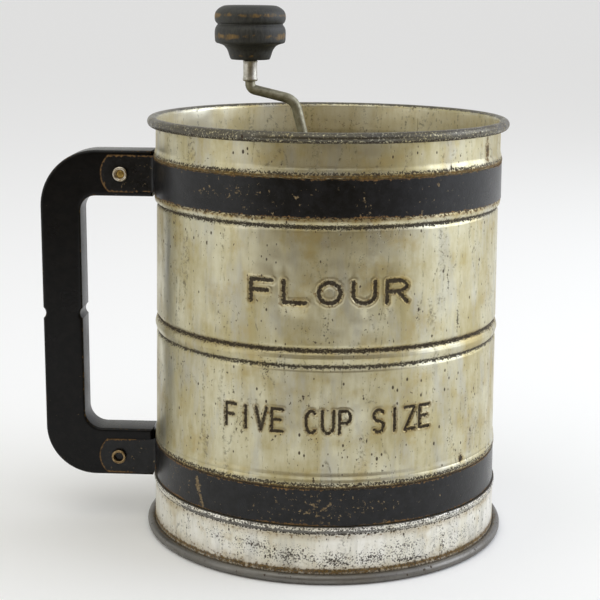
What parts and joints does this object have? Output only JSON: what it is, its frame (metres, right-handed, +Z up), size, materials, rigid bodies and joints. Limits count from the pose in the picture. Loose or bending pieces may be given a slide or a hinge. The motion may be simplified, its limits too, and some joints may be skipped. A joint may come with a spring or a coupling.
{
  "type": "flour sifter",
  "caption": "Hand-cranked tin flour sifter with stacked screens, black steel bands, a flat wooden side handle and a turned crank knob.",
  "frame": {"origin": "on the floor under the middle of the whole object's box, between the can's axis and the handle", "axes": "+Z up along the can's axis; the handle and the crank arm lie on the -X side in the plane y = 0; +Y across the can"},
  "size_m": [0.1798, 0.1398, 0.2011],
  "materials": {
    "tinplate": "aged hot-dipped tin, khaki tint, vertical streaks, pitted, rust at the edges",
    "inner_tinplate": "dull tin",
    "japanned_steel": "semi-gloss black japan, chipped, brown at the edges",
    "painted_wood": "satin black paint worn to brown wood at the edges",
    "worn_knob_wood": "black stain worn on the rings",
    "ferrule_tin": "bright tin",
    "rivet_brass": "tarnished brass",
    "bearing_brass": "dull brass",
    "screen_wire": "tinned woven wire",
    "edge_wire": "dull iron wire",
    "crank_steel": "grey steel rod, worn"
  },
  "bodies": {
    "can": {"can_body": "tinplate", "foot_bridge": "inner_tinplate", "foot_bush": "bearing_brass", "foot_ring": "tinplate", "foot_wire": "edge_wire", "handle": "painted_wood", "lower_band": "japanned_steel", "lower_eyelet": "bearing_brass", "lower_handle_rivet": "rivet_brass", "lower_screen": "screen_wire", "lower_screen_ring": "inner_tinplate", "middle_eyelet": "bearing_brass", "middle_screen": "screen_wire", "middle_screen_ring": "inner_tinplate", "rim_wire": "edge_wire", "top_bridge": "inner_tinplate", "top_bush": "bearing_brass", "upper_band": "japanned_steel", "upper_eyelet": "bearing_brass", "upper_handle_rivet": "rivet_brass", "upper_screen": "screen_wire", "upper_screen_ring": "inner_tinplate"},
    "crank": {"crank_rod": "crank_steel", "knob_ferrule": "ferrule_tin", "lower_agitator_hub": "crank_steel", "lower_agitator_lower_wire": "crank_steel", "lower_agitator_upper_wire": "crank_steel", "middle_agitator_hub": "crank_steel", "middle_agitator_lower_wire": "crank_steel", "middle_agitator_upper_wire": "crank_steel", "retaining_washer": "crank_steel", "thrust_collar": "crank_steel", "upper_agitator_hub": "crank_steel", "upper_agitator_lower_wire": "crank_steel", "upper_agitator_upper_wire": "crank_steel"},
    "knob": {"knob": "worn_knob_wood"}
  },
  "joints": [
    {"name": "crank_spin", "type": "hinge", "parent": "can", "child": "crank", "pos_m": [0.01997, 0, 0.1], "axis": [0, 0, 1], "continuous": true},
    {"name": "knob_spin", "type": "hinge", "parent": "crank", "child": "knob", "pos_m": [-0.00962, 0, 0.19], "axis": [0, 0, 1], "continuous": true}
  ]
}
